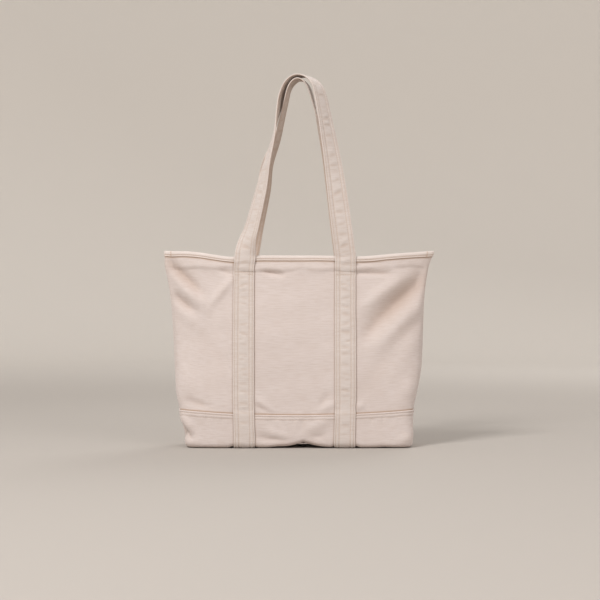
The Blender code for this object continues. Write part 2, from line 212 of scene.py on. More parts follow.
def crease(x, z, start, end, out, width):
    """A soft ridge or valley along a line, deepest at its middle and fading at its ends."""
    ax, az = start
    dx, dz = end[0] - ax, end[1] - az
    share = ((x - ax) * dx + (z - az) * dz) / (dx * dx + dz * dz)
    near = np.clip(share, 0, 1)
    away = np.hypot(x - ax - near * dx, z - az - near * dz)
    return out * np.exp(-((away / width) ** 2)) * (0.35 + 0.65 * np.sin(math.pi * near) ** 0.7)


def depth_of_folds(x, z, folds):
    """How deep in a valley the cloth lies, from 0 to 1."""
    return np.clip(sum(-crease(x, z, *fold) for fold in folds if fold[2] < 0) / 0.010, 0, 1)


def fullness(x, z, folds, side):
    """How far the cloth stands out of its plain shape."""
    height = np.clip((z - BOTTOM) / CLOTH_HEIGHT, 0, 1)
    out = sum(crease(x, z, *fold) for fold in folds)
    phase = 0.7 if side < 0 else 2.9
    out = out + 0.0009 * np.sin(23 * x + 9 * z + phase) * np.sin(31 * z - 8 * x + 2 * phase)
    out = out + 0.00045 * np.sin(61 * x - 47 * z + phase) * np.cos(38 * x + 71 * z)
    facing = MOUTH_Z - FACING_HEIGHT + SIDE_RISE * (x / MOUTH_HALF) ** 2
    wander = 0.0016 * np.sin(41 * x + phase) + 0.0011 * np.sin(97 * x)
    out = out + 0.0024 * smooth((z - facing - wander + 0.002) / 0.0045)
    belly = np.exp(-((x / 0.17) ** 4)) * np.sin(math.pi * np.clip(height, 0, 1)) ** 0.8
    return (out + 0.0022 * belly) * smooth(height / 0.04)


TABLE_S = np.linspace(-LAST, LAST, 377)
TURN_ROWS = np.concatenate([
    np.linspace(-TURNED_UNDER, 0, 6)[:-1],
    np.linspace(0, TURN_RADIUS, 7)[:-1],
])
TABLE_H = np.concatenate([TURN_ROWS, np.linspace(TURN_RADIUS, CLOTH_HEIGHT + 0.012, 150)])


def bottom_edge(x):
    """The lower edge isn't straight: it hollows between the straps and sinks where none holds it up."""
    hollow = 0.0100 * np.exp(-((np.abs(x - 0.016) / 0.023) ** 1.3))
    wave = 0.0012 * bump(x, -0.030, 0.014) + 0.0010 * bump(x, 0.162, 0.016)
    on_strap = 1 - smooth((np.abs(np.abs(x) - STRAP_CENTRE) - STRAP_WIDTH / 2 - 0.001) / 0.008)
    sag = -(LIFT - 0.0004) * (1 - on_strap)
    return hollow + wave + sag


def mouth_edge(x):
    """The mouth sinks a little beside the straps, and its left end stands up again."""
    stands = 0.0018 * bump(x, -0.190, 0.030)
    return stands - 0.0040 * bump(x, -0.115, 0.035) - 0.0036 * bump(x, 0.122, 0.050)


def normals_of(points):
    across, up = np.gradient(points, axis=1), np.gradient(points, axis=0)
    out = np.cross(across, up)
    return out / np.linalg.norm(out, axis=2, keepdims=True)


def drape(side, folds):
    """Points and normals of one side's surface over the table's rows and columns."""
    rows = []
    for h in TABLE_H:
        wall = max(h, TURN_RADIUS)
        x, deep = outline(wall, np.abs(TABLE_S))
        x = np.copysign(x, TABLE_S)
        flat = np.stack([x, -deep], axis=1)
        along = np.gradient(flat, axis=0)
        outward = np.stack([along[:, 1], -along[:, 0]], axis=1)
        outward /= np.linalg.norm(outward, axis=1, keepdims=True)
        angle = np.clip(h / TURN_RADIUS, 0, 1) * math.pi / 2
        inward = TURN_RADIUS * (1 - math.sin(angle)) + max(-h, 0)
        high = TURN_RADIUS * (1 - math.cos(angle)) if h < TURN_RADIUS else h
        flat = flat - outward * inward
        rise = SIDE_RISE * (x / half_width(wall)) ** 2 * smooth(h / BAND_HEIGHT)
        z = LIFT + high + (BOTTOM - LIFT) * (1 - smooth(high / 0.04)) + rise
        rows.append(np.column_stack([flat, z]))
    points = np.array(rows)
    x, z = points[..., 0], points[..., 2]
    outer = smooth((np.abs(x) - STRAP_CENTRE - 0.02) / 0.08)
    # The bag isn't quite even: both its sides lean and bulge a little to the right
    leaning = 0.0033 + 0.0042 * (1 - smooth((z - 0.02) / 0.04)) + 0.0045 * smooth((z - 0.325) / 0.03)
    leaning = leaning + np.where(x > 0, 0.0070 * bump(z, 0.175, 0.120), -0.0040 * bump(z, 0.092, 0.030))
    points[..., 0] += (leaning + np.sign(x) * 0.0030 * bump(z, 0.340, 0.040)) * outer
    x = points[..., 0]
    points[..., 2] += mouth_edge(x) * smooth((z - 0.20) / 0.12)
    held = smooth((LAST - np.abs(TABLE_S)) / 0.026)[None, :]
    points = points + normals_of(points) * (fullness(x, z, folds, side) * held)[..., None]
    points[..., 2] += bottom_edge(x) * (1 - smooth((z - BOTTOM) / 0.045))
    seam = np.abs(TABLE_S) - (FLAT_HALF + SIDE_SPAN - 0.006)
    points = points - normals_of(points) * (0.0006 * smooth(seam / 0.009))[None, :, None]
    return points, normals_of(points), depth_of_folds(x, z, folds)


CLOTHS = {"front": drape(-1, FRONT_FOLDS), "rear": drape(1, REAR_FOLDS)}
SIDES = {"front": -1, "rear": 1}


def on_cloth(word, s, h, out):
    """Places on a side's draped surface, for arrays of columns, rows and heights above it."""
    points, normals, _ = CLOTHS[word]
    s, h, out = np.broadcast_arrays(*(np.asarray(v, float) for v in (s, h, out)))
    place = read_table(points, s, h) + read_table(normals, s, h) * out[..., None]
    if word == "rear":
        place = place * np.array([1, -1, 1])
    return place


def read_table(table, s, h):
    fs = np.clip((s - TABLE_S[0]) / (TABLE_S[1] - TABLE_S[0]), 0, len(TABLE_S) - 1.001)
    fh = np.clip(np.interp(h, TABLE_H, np.arange(len(TABLE_H))), 0, len(TABLE_H) - 1.001)
    i, j = fs.astype(int), fh.astype(int)
    u, v = fs - i, fh - j
    if table.ndim == 3:
        u, v = u[..., None], v[..., None]
    low = table[j, i] * (1 - u) + table[j, i + 1] * u
    high = table[j + 1, i] * (1 - u) + table[j + 1, i + 1] * u
    return low * (1 - v) + high * v


# Materials


def linear(code):
    """An sRGB hex colour as linear RGBA."""
    parts = [int(code[k : k + 2], 16) / 255 for k in (0, 2, 4)]
    return (*(p / 12.92 if p <= 0.04045 else ((p + 0.055) / 1.055) ** 2.4 for p in parts), 1)


def add_node(tree, kind, settings=(), links=()):
    """Adds a node, sets its properties and inputs, and links sockets of other nodes to its inputs."""
    node = tree.nodes.new(kind)
    for key, value in dict(settings).items():
        if isinstance(key, str) and hasattr(node, key):
            setattr(node, key, value)
        else:
            node.inputs[key].default_value = value
    for key, socket in dict(links).items():
        tree.links.new(socket, node.inputs[key])
    return node


def cotton(name, thread, slub, shade, fold, weave_mm, weave_depth, streak, roughness=0.92):
    """Undyed woven cotton. thread and slub are its two tones, shade the darker gaps between threads
    and fold the colour of the painted shade that the crease attribute mixes in, in folds and along
    seams; the pattern reads the cloth's own UV map, which is in metres."""
    made = bpy.data.materials.new(name)
    made.use_nodes = True
    tree = made.node_tree
    shader = tree.nodes["Principled BSDF"]
    uv = add_node(tree, "ShaderNodeUVMap", {"uv_map": "cloth"}).outputs["UV"]

    # Threads are about half this apart in the real cloth; that would be too fine to show
    bands = {
        "Scale": 1000 / weave_mm * math.pi / 10,
        "Distortion": 0.6,
        "Detail": 1.0,
        "Detail Scale": 1.5,
    }
    warp = add_node(tree, "ShaderNodeTexWave", {"bands_direction": "X", **bands}, {"Vector": uv})
    weft = add_node(tree, "ShaderNodeTexWave", {"bands_direction": "Y", **bands}, {"Vector": uv})
    crossing = {0: warp.outputs["Fac"], 1: weft.outputs["Fac"]}
    weave = add_node(tree, "ShaderNodeMath", {"operation": "MULTIPLY"}, crossing).outputs[0]

    # Slubs are thicker stretches of the weft, about 24 mm long and 2 mm high. The warp has the same
    # upright, and clouds about 60 mm wide change the tone.
    noises = []
    for per_metre, detail, rough in (
        ((42, 520, 1), 3.0, 0.6),
        ((430, 30, 1), 2.0, 0.5),
        ((16, 16, 1), 3.0, 0.55),
    ):
        scaled = add_node(tree, "ShaderNodeMapping", {"Scale": per_metre}, {"Vector": uv})
        pattern = {"Scale": 1.0, "Detail": detail, "Roughness": rough}
        links = {"Vector": scaled.outputs["Vector"]}
        noises.append(add_node(tree, "ShaderNodeTexNoise", pattern, links).outputs["Fac"])
    slubs, warps, clouds = noises
    # The crease attribute carries painted shade: deep in folds, in stitch grooves, under the binding,
    # beside the straps, where the band turns under and on the straps' inner faces, plus a dark line along
    # the top of the base band
    painted_crease_shade = add_node(tree, "ShaderNodeAttribute", {"attribute_name": "crease"}).outputs["Fac"]

    under = {}
    for pattern, low, high, least, most, colour in (
        (slubs, 0.40, 0.66, 0.0, streak, slub),
        (clouds, 0.35, 0.70, 0.0, 0.35, slub),
        (weave, 0.0, 0.35, 0.30, 0.0, shade),
        (painted_crease_shade, 0.0, 1.0, 0.0, 0.75, fold),
    ):
        span = {"From Min": low, "From Max": high, "To Min": least, "To Max": most}
        share = add_node(tree, "ShaderNodeMapRange", span, {"Value": pattern}).outputs["Result"]
        tones = {"data_type": "RGBA", 6: linear(thread), 7: linear(colour)}
        under = {6: add_node(tree, "ShaderNodeMix", tones, {0: share, **under}).outputs[2]}
    tree.links.new(under[6], shader.inputs["Base Color"])

    height = weave
    for pattern, share in ((slubs, 0.55), (warps, 0.35)):
        sums = {"operation": "MULTIPLY_ADD", 1: share}
        height = add_node(tree, "ShaderNodeMath", sums, {0: pattern, 2: height}).outputs[0]
    strength = {"Strength": 0.55, "Distance": weave_depth}
    relief = add_node(tree, "ShaderNodeBump", strength, {"Height": height})
    tree.links.new(relief.outputs["Normal"], shader.inputs["Normal"])
    span = {"From Min": 0.3, "From Max": 0.7, "To Min": roughness - 0.04, "To Max": roughness + 0.04}
    rough = add_node(tree, "ShaderNodeMapRange", span, {"Value": slubs}).outputs["Result"]
    tree.links.new(rough, shader.inputs["Roughness"])
    shader.inputs["IOR"].default_value = 1.5
    shader.inputs["Sheen Weight"].default_value = 0.18
    shader.inputs["Sheen Roughness"].default_value = 0.5
    return made


def make_materials():
    """Canvas is unbleached cotton in a plain weave: matt, off-white, with slubs along the weft. The
    strap is the same canvas pressed flat by its stitching; the binding is a lighter cotton tape."""
    # Name, thread, slub, shade, fold (the colour of the painted shade), thread spacing in mm, relief in
    # metres, streak, roughness
    finishes = {
        "canvas": ("unbleached_cotton_canvas", "DED4D1", "D1C4BE", "BDAEA6", "A5815F", 1.15, 0.00035, 0.8),
        "strap": ("folded_canvas_strap", "DCD4D0", "D0C4BD", "BBADA6", "A98766", 1.15, 0.00035, 0.7),
        "tape": ("cotton_bias_tape", "E6DDD9", "DBD0C9", "C4B6AD", "B0845A", 0.8, 0.00025, 0.5, 0.88),
        "thread": ("cotton_core_thread", "DACFC8", "CCBEB5", "AD9A8E", "9C8264", 0.4, 0.0001, 0.4, 0.75),
    }
    return {cloth: cotton(*finish) for cloth, finish in finishes.items()}


# Meshes


def finish_piece(name, data, material):
    data.shade_smooth()
    data.materials.append(material)
    piece = bpy.data.objects.new(name, data)
    bpy.context.scene.collection.objects.link(piece)
    return piece


def cloth_piece(name, inner, outer, pattern, material, crease=0.0, painted_underside_shade=0.0, sharp=55):
    """A layer with a thickness. inner and outer hold the points of its two faces by row and column,
    pattern their places on the flat cloth, in metres, and crease how much painted shade they take in
    folds and along seams, from 0 to 1; the inner face adds painted_underside_shade, more painted shade."""
    up, across = inner.shape[:2]
    mesh = bmesh.new()
    bmesh.ops.create_grid(mesh, x_segments=across - 1, y_segments=up - 1, size=0.5)
    raised = bmesh.ops.extrude_face_region(mesh, geom=mesh.faces[:])["geom"]
    top = [element for element in raised if isinstance(element, bmesh.types.BMVert)]
    bmesh.ops.translate(mesh, verts=top, vec=(0, 0, 1))
    bmesh.ops.recalc_face_normals(mesh, faces=mesh.faces)
    data = bpy.data.meshes.new(name)
    mesh.to_mesh(data)
    mesh.free()
    grid = np.empty(len(data.vertices) * 3)
    data.vertices.foreach_get("co", grid)
    grid = grid.reshape(-1, 3)
    i = np.rint((grid[:, 0] + 0.5) * (across - 1)).astype(int)
    j = np.rint((grid[:, 1] + 0.5) * (up - 1)).astype(int)
    place = np.where(grid[:, 2:] > 0.5, outer[j, i], inner[j, i])
    data.vertices.foreach_set("co", place.ravel())
    corners = np.empty(len(data.loops), int)
    data.loops.foreach_get("vertex_index", corners)
    data.uv_layers.new(name="cloth").data.foreach_set("uv", pattern[j, i][corners].ravel())
    depth = np.broadcast_to(crease, (up, across))[j, i] + painted_underside_shade * (grid[:, 2] < 0.5)
    data.attributes.new("crease", "FLOAT", "POINT").data.foreach_set("value", np.clip(depth, 0, 1))
    data.update()
    if signed_volume(data) < 0:
        data.flip_normals()
    piece = finish_piece(name, data, material)
    data.set_sharp_from_angle(angle=math.radians(sharp))
    return piece


def signed_volume(data):
    data.calc_loop_triangles()
    points = np.empty(len(data.vertices) * 3)
    data.vertices.foreach_get("co", points)
    corners = np.empty(len(data.loop_triangles) * 3, int)
    data.loop_triangles.foreach_get("vertices", corners)
    a, b, c = points.reshape(-1, 3)[corners.reshape(-1, 3)].transpose(1, 0, 2)
    return float(np.einsum("ij,ij->i", a, np.cross(b, c)).sum())


def pattern_of(s, h):
    return np.stack(np.broadcast_arrays(s, h), axis=-1)


def spaced(start, end, step):
    return np.linspace(start, end, max(2, round(abs(end - start) / step) + 1))


def layer(name, word, s, h, low, high, material, crease=0.0):
    """A flat layer between two heights above the cloth."""
    s, h = np.meshgrid(s, h)
    inner, outer = on_cloth(word, s, h, low), on_cloth(word, s, h, high)
    return cloth_piece(name, inner, outer, pattern_of(s, h), material, crease)


def opens(piece):
    """Bakes the piece's placement into its mesh."""
    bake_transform(piece)


ROLL = Matrix.Rotation(math.pi / 2, 4, "Y")  # puts a sphere's poles at the ends of a stitch
BALL = 0.8  # how long, wide and high a stitch is before it gets its size


def stitch_copies(count):
    """A mesh of count round stitches, one metre apart along X."""
    mesh = bmesh.new()
    bmesh.ops.create_uvsphere(mesh, u_segments=5, v_segments=6, radius=BALL / 2, matrix=ROLL)
    made = 1
    while made < count:
        copied = bmesh.ops.duplicate(mesh, geom=mesh.verts[:] + mesh.edges[:] + mesh.faces[:])["geom"]
        verts = [element for element in copied if isinstance(element, bmesh.types.BMVert)]
        bmesh.ops.translate(mesh, verts=verts, vec=(made, 0, 0))
        made *= 2
    spare = [vert for vert in mesh.verts if vert.co.x > count - 0.5]
    bmesh.ops.delete(mesh, geom=spare, context="VERTS")
    return mesh


def stitch_row(name, centres, normals, material, length=STITCH_LENGTH, pitch=STITCH_PITCH):
    """A row of stitches, each a short rounded float of thread, along a line of points."""
    line = np.asarray(centres)
    along = np.concatenate([[0], np.cumsum(np.linalg.norm(np.diff(line, axis=0), axis=1))])
    count = max(2, int(along[-1] / pitch))
    at = (np.arange(count) + 0.5) * along[-1] / count

    def read(values, where):
        return np.stack([np.interp(where, along, np.asarray(values)[:, k]) for k in range(3)], axis=1)

    def unit(vectors):
        return vectors / np.linalg.norm(vectors, axis=1, keepdims=True)

    middle = read(line, at)
    ahead = unit(read(line, at + pitch / 4) - read(line, at - pitch / 4))
    out = read(normals, at)
    out = unit(out - ahead * (ahead * out).sum(axis=1, keepdims=True))
    beside = np.cross(out, ahead)
    mesh = stitch_copies(count)
    data = bpy.data.meshes.new(name)
    mesh.to_mesh(data)
    mesh.free()
    local = np.empty(len(data.vertices) * 3)
    data.vertices.foreach_get("co", local)
    local = local.reshape(-1, 3)
    stitch = np.rint(local[:, 0]).astype(int)
    local[:, 0] -= stitch
    local = local / BALL * np.array([length, THREAD, THREAD * 0.8])
    place = middle[stitch] + sum(
        axis[stitch] * local[:, k : k + 1] for k, axis in enumerate((ahead, beside, out))
    )
    data.vertices.foreach_set("co", place.ravel())
    if signed_volume(data) < 0:
        data.flip_normals()
    corners = np.empty(len(data.loops), int)
    data.loops.foreach_get("vertex_index", corners)
    flat = np.stack([at[stitch] + local[:, 0], local[:, 1]], axis=1)
    data.uv_layers.new(name="cloth").data.foreach_set("uv", flat[corners].ravel())
    data.attributes.new("crease", "FLOAT", "POINT")
    return finish_piece(name, data, material)


def seam_on_cloth(name, word, s, h, out, material):
    """A row of stitches along a line of the pattern."""
    line = on_cloth(word, s, h, out)
    away = on_cloth(word, s, h, np.asarray(out) + 0.001) - line
    return stitch_row(name, line, away, material)


# The sewn bag


def refined(values, lines, reach=0.0036, step=0.0009):
    """Adds values close to each of the lines, where seams show."""
    close = [line + np.arange(-reach, reach + step / 2, step) for line in lines]
    merged = np.sort(np.concatenate([values, *close]))
    keep = np.concatenate([[True], np.diff(merged) > 0.0005])
    merged = merged[keep]
    return merged[(merged >= values[0]) & (merged <= values[-1])]


def lean_in(h):
    """The straps were sewn on a little closer together near the base."""
    return 0.0018 * smooth((0.10 - h) / 0.10)


def painted_shade_beside_straps(s, h):
    """Painted shade in a thin line where the cloth meets the straps' edges."""
    return sum(bump(s, edge - math.copysign(1, edge) * lean_in(h), 0.0016) for edge in STRAP_EDGES)


def side_of_bag(word, looks):
    top = CLOTH_HEIGHT
    s = refined(spaced(-LAST, LAST, CLOTH_STEP), STRAP_EDGES)
    seams = [BAND_HEIGHT, top - BINDING_HEIGHT - 0.001]
    h = np.concatenate([TURN_ROWS, refined(spaced(TURN_RADIUS, top, CLOTH_STEP), seams)])
    column, row = np.meshgrid(s, h)
    # Painted shade deep in the folds, in a line under the binding and beside the straps' edges, and a dark
    # line along the top of the base band
    crease = 0.42 * read_table(CLOTHS[word][2], column, row) + bump(row, seams[1] + 0.0008, 0.0017)
    crease = crease + bump(row, BAND_HEIGHT + 0.0010, 0.0013) + 0.4 * painted_shade_beside_straps(column, row)
    panel = layer(f"{word}_panel_cloth", word, s, h, 0, CLOTH, looks["canvas"], crease)
    opens(panel)
    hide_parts(f"{word}_panel")
    base_band(word, s, looks)
    binding(word, s, looks)

    s = spaced(-FACING_HALF, FACING_HALF, 0.004)
    h = spaced(top - FACING_HEIGHT, top - BINDING_HEIGHT - GAP, 0.003)
    facing = layer(f"{word}_facing_cloth", word, s, h, -GAP - TAPE, -GAP, looks["canvas"])
    opens(facing)
    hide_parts(f"{word}_facing")


def base_band(word, s, looks):
    """The second layer round the base. Its top edge is turned in, so it is a little thicker there."""
    h = np.concatenate([TURN_ROWS, spaced(TURN_RADIUS, BAND_HEIGHT - 0.0125, CLOTH_STEP)[:-1]])
    # Millimetres down from the top edge, close together where the stitches pull the edge in
    fine = [12.5, 11.5, 10.4, 9.7, 9, 8.3, 7.4, 6.4, 5.4, 4.5, 4, 3.5, 3, 2.4, 1.6, 0.8, 0.3, 0]
    s, h = np.meshgrid(s, np.concatenate([h, BAND_HEIGHT - np.array(fine) / 1000]))
    down = BAND_HEIGHT - h
    rows = bump(down, BAND_ROWS[0], 0.0007) + bump(down, BAND_ROWS[1], 0.0007)
    puff = 0.0007 * bump(down, 0.0016, 0.0012) + 0.0005 * bump(down, 0.0062, 0.0016) - 0.0003 * rows
    ripple = np.sin(s * 640 + 2 * np.sin(s * 90)) * bump(down, 0.0062, 0.0030)
    ripple = 0.00028 * ripple + 0.0004 * np.sin(s * 260 + 3 * np.sin(s * 47)) * bump(down, 0.014, 0.006)
    round_off = 0.0005 * (1 - smooth(down / 0.0010))
    # Painted shade deep in the folds, in the rows of stitches, beside the straps and where the band turns
    # under the bag
    crease = 0.3 * read_table(CLOTHS[word][2], s, h) + 0.30 * rows + 0.4 * painted_shade_beside_straps(s, h)
    crease = crease + 0.5 * smooth((TURN_RADIUS * 0.8 - h) / TURN_RADIUS)
    inner = on_cloth(word, s, h, CLOTH + GAP)
    outer = on_cloth(word, s, h, 2 * CLOTH + GAP + puff + ripple - round_off)
    pattern = pattern_of(s, h + 0.5)
    band = cloth_piece(f"{word}_band_cloth", inner, outer, pattern, looks["canvas"], crease)
    opens(band)
    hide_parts(f"{word}_band")
    line = spaced(-0.266, 0.266, 0.002)
    for row, down in zip(("upper", "lower"), BAND_ROWS):
        name, out = f"{word}_band_stitches_{row}", 2 * CLOTH + GAP - 0.0001
        stitches = seam_on_cloth(name, word, line, BAND_HEIGHT - down, out, looks["thread"])
        opens(stitches)
        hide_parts(f"{word}_band_stitching_{row}")


def binding(word, s, looks):
    """Tape folded over the raw edge of the mouth."""
    low, top = CLOTH_HEIGHT - BINDING_HEIGHT, CLOTH_HEIGHT
    middle = CLOTH / 2
    arc = np.linspace(0, math.pi, 9)
    leg = np.array([0, 0.08, 0.2, 0.3, 0.36, 0.4, 0.44, 0.5, 0.62, 0.8])

    def path(radius, ends):
        rise = ends + (top - low - ends) * leg
        h = np.concatenate([low + rise, top + radius * np.sin(arc), (low + rise)[::-1]])
        straight = np.full(len(leg), radius)
        out = np.concatenate([straight, radius * np.cos(arc), -straight])
        return h, middle + out

    inner_h, inner_out = path(CLOTH / 2 + GAP / 2, 0.0)
    outer_h, outer_out = path(CLOTH / 2 + GAP / 2 + TAPE, 0.0002)
    puff = 0.0005 * bump(outer_h, low + 0.0055, 0.0014) + 0.0003 * bump(outer_h, low + 0.0012, 0.0010)
    puff = puff - 0.0002 * bump(outer_h, low + BINDING_ROW, 0.0006)
    outer_out = outer_out + np.sign(outer_out - middle) * puff
    ripple = 0.00012 * np.sin(s * 900 + 3 * np.sin(s * 70)) - 0.0005 * bump(np.abs(s), PINCH, 0.0012)
    inner = on_cloth(word, s[None, :], inner_h[:, None], inner_out[:, None])
    outer = on_cloth(word, s[None, :], outer_h[:, None], outer_out[:, None] + ripple[None, :])
    along = np.concatenate([[0], np.cumsum(np.hypot(np.diff(outer_h), np.diff(outer_out)))])
    pattern = pattern_of(s[None, :], along[:, None])
    # Painted shade along the row of stitches, at the tape's lower edge and where the side seam pinches it
    face = np.where(outer_out > middle, outer_h - low, 1.0)
    pinched = 0.5 * bump(np.abs(s), PINCH, 0.0015)
    crease = (0.6 * bump(face, BINDING_ROW, 0.0008) + 0.5 * bump(face, 0.0, 0.0006))[:, None] + pinched
    tape = cloth_piece(f"{word}_binding_tape", inner, outer, pattern, looks["tape"], crease)
    opens(tape)
    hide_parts(f"{word}_binding")
    line = spaced(-0.268, 0.268, 0.002)
    out = CLOTH + GAP + TAPE + 0.0003
    name = f"{word}_binding_stitches"
    stitches = seam_on_cloth(name, word, line, low + BINDING_ROW, out, looks["thread"])
    opens(stitches)
    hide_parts(f"{word}_binding_stitching")


# The straps. Each handle's free stretch, left to right: sideways as a share of the straps' centre, lean
# as a share of their depth at the mouth, height as a share of the rise, and the turn about the strap's
# own length in degrees.
FRONT_ROUTE = (
    (-0.920, 1.05, 0.090, 34),
    (-0.830, 1.05, 0.167, 46),
    (-0.642, 0.98, 0.376, 58),
    (-0.537, 0.92, 0.516, 71),
    (-0.408, 0.74, 0.656, 82),
    (-0.322, 0.40, 0.795, 97),
    (-0.245, 0.05, 0.890, 105),
    (-0.110, -0.06, 0.966, 110),
    (0.077, 0.00, 1.000, 112),
    (0.285, 0.18, 0.990, 118),
    (0.440, 0.34, 0.948, 123),
    (0.508, 0.44, 0.890, 127),
    (0.585, 0.58, 0.783, 131),
    (0.716, 0.80, 0.583, 143),
    (0.790, 0.92, 0.452, 153),
    (0.858, 1.00, 0.313, 163),
    (0.929, 1.05, 0.167, 171),
)
REAR_ROUTE = (
    (-0.872, 1.02, 0.090, 16),
    (-0.806, 1.05, 0.167, 30),
    (-0.618, 1.00, 0.376, 48),
    (-0.540, 0.97, 0.516, 58),
    (-0.350, 0.97, 0.656, 72),
    (-0.228, 0.70, 0.785, 79),
    (-0.155, 0.30, 0.868, 81),
    (-0.090, 0.06, 0.935, 81),
    (0.000, 0.00, 0.970, 79),
    (0.090, 0.00, 0.981, 78),
    (0.190, 0.00, 0.971, 78),
    (0.280, 0.02, 0.936, 79),
    (0.352, 0.10, 0.875, 82),
    (0.450, 0.32, 0.760, 92),
    (0.620, 0.70, 0.583, 111),
    (0.730, 0.87, 0.452, 128),
    (0.830, 0.98, 0.313, 145),
    (0.920, 1.05, 0.167, 163),
)
ROUTES = {"front": FRONT_ROUTE, "rear": REAR_ROUTE}
STITCH_COLUMNS = (0.0160, 0.0100)  # the strap's rows of stitches, from its middle
BAR_ROWS = (0.003, 0.009)  # rows of stitches across the strap, down from where it leaves the bag
BAR_HALF = 0.0158
BARE_ROWS = 14  # rows of the strap's mesh at each end that no stitch reaches
STRAP_FOOT = -0.004  # the row where the sewn-down strap meets the stretch under the bag
FREE_FROM = CLOTH_HEIGHT + 0.004


def strap_offset(h):
    """Over the base band the strap lies higher than over the single cloth, and it rises again over
    the binding."""
    over = OVER_BAND + (OVER_CLOTH - OVER_BAND) * smooth((h - BAND_HEIGHT - 0.0005) / 0.006)
    near_mouth = smooth((h - CLOTH_HEIGHT + BINDING_HEIGHT + 0.006) / 0.006)
    return over + (OVER_BINDING + 0.0003 - OVER_CLOTH) * near_mouth


def leg_points(word, centre, h, across, lift):
    """Points of a sewn-down strap: rows h, columns across from its middle, lift above its inside."""
    s = centre - math.copysign(1, centre) * lean_in(h)[:, None] + across[None, :]
    if centre < 0:
        s = s + sway(word, h)[:, None]
    return on_cloth(word, s, h[:, None], strap_offset(h)[:, None] + lift)


def sway(word, h):
    """Above its last stitches the left leg starts towards the middle."""
    return (0.0024 if word == "front" else 0.0064) * smooth((h - FOLD) / 0.022)


def free_frames(word):
    """Centre, across and out along a handle, from the mouth on the left to the mouth on the right."""
    side = SIDES[word]
    ends = []
    for h in (CLOTH_HEIGHT - 0.011, FREE_FROM):
        s = -STRAP_CENTRE + float(sway(word, h)) + np.array([-1, 1]) * STRAP_WIDTH / 2
        edges = on_cloth("front", s, h, strap_offset(np.array([h, h])))
        middle, across = edges.mean(axis=0), edges[1] - edges[0]
        ends.append((*middle, math.degrees(math.atan2(-across[1], across[0]))))
    depth = -ends[-1][1]
    free = [
        (x * STRAP_CENTRE, -lean * depth, MOUTH_Z + z * HANDLE_RISE, turn)
        for x, lean, z, turn in ROUTES[word]
    ]
    back = float(sway(word, FREE_FROM))
    right = [(-x + back, y, z, 180 - turn) for x, y, z, turn in reversed(ends)]
    points = np.array(ends + free + right)
    points[:, 1] *= -side
    slopes = np.gradient(points, axis=0)
    line = []
    for k in range(1, len(points) - 2):
        a, b = points[k], points[k + 1]
        t = np.linspace(0, 1, max(2, round(np.linalg.norm(b[:3] - a[:3]) / 0.0035) + 1))[:-1, None]
        line.append(
            (1 + 2 * t) * (1 - t) ** 2 * a + t * (1 - t) ** 2 * slopes[k]
            + t * t * (3 - 2 * t) * b + t * t * (t - 1) * slopes[k + 1]
        )
    line = np.concatenate(line + [points[-2:-1]])
    kernel = np.hanning(9)
    kernel /= kernel.sum()
    padded = np.pad(line, ((4, 4), (0, 0)), "edge")
    eased = np.stack([np.convolve(values, kernel, "valid") for values in padded.T], axis=1)
    keep = smooth(np.minimum(np.arange(len(line)), np.arange(len(line))[::-1]) / 8)[:, None]
    line = line * (1 - keep) + eased * keep
    along = np.gradient(line[:, :3], axis=0)
    along /= np.linalg.norm(along, axis=1, keepdims=True)
    angle = np.radians(line[:, 3])
    across = np.stack([np.cos(angle), side * np.sin(angle), np.zeros(len(angle))], axis=1)
    out = -side * np.cross(across, along)
    out /= np.linalg.norm(out, axis=1, keepdims=True)
    across = -side * np.cross(along, out)
    return line[:, :3], across, out


def strap_profile():
    """Columns across the strap with the height of its inner and outer face: folded edges that round
    off, and a shallow groove at each row of stitches, with the painted shade that each groove takes."""
    half = STRAP_WIDTH / 2
    # Millimetres from the middle of a strap 38 mm wide
    right = [0, 3, 6, 8.4, 9.4, 10, 10.6, 11.8, 13.4, 15.1, 16, 16.8, 17.6, 18.2, 18.65, 18.92, 19]
    right = np.array(right) / 1000 * half / 0.019
    across = np.concatenate([-right[:0:-1], right])
    edge = np.clip((np.abs(across) - half + 0.0012) / 0.0012, 0, 1)
    full = np.sqrt(np.maximum(1 - edge**2, 0.02))
    groove = sum(bump(np.abs(across), row, 0.0007) for row in STITCH_COLUMNS)
    swell = 0.00035 * bump(np.abs(across), 0.013, 0.0016) + 0.0003 * bump(across, 0, 0.005)
    outer = STRAP_THICK / 2 * (1 + full) - 0.0005 * groove + swell
    inner = STRAP_THICK / 2 * (1 - full) + 0.00012 * groove
    return across, inner, outer, 0.5 * groove


def puckers(across, along, seed):
    """Small ripples where the stitching draws the strap's layers together."""
    rng = np.random.default_rng(seed)
    total = np.zeros((len(along), len(across)))
    between = np.exp(-((across / 0.0075) ** 4))[None, :]
    edge = bump(np.abs(across), 0.013, 0.003)[None, :]
    at = along.min()
    while at < along.max():
        at += rng.uniform(0.007, 0.022)
        tilt, size, wide = (rng.uniform(*span) for span in ((-0.3, 0.3), (0.0003, 0.0012), (0.002, 0.004)))
        away = along[:, None] - at - tilt * across[None, :]
        ridge, valley = bump(away, 0, wide), bump(away, 1.7 * wide, wide)
        total += size * (ridge - 0.6 * valley) * between
    for side, phase in ((-1, rng.uniform(0, 6)), (1, rng.uniform(0, 6))):
        ripple = np.sin(along * 1100 + phase + 2.5 * np.sin(along * 130 + phase))[:, None]
        total += 0.00018 * ripple * edge * (np.sign(across)[None, :] == side)
    return total


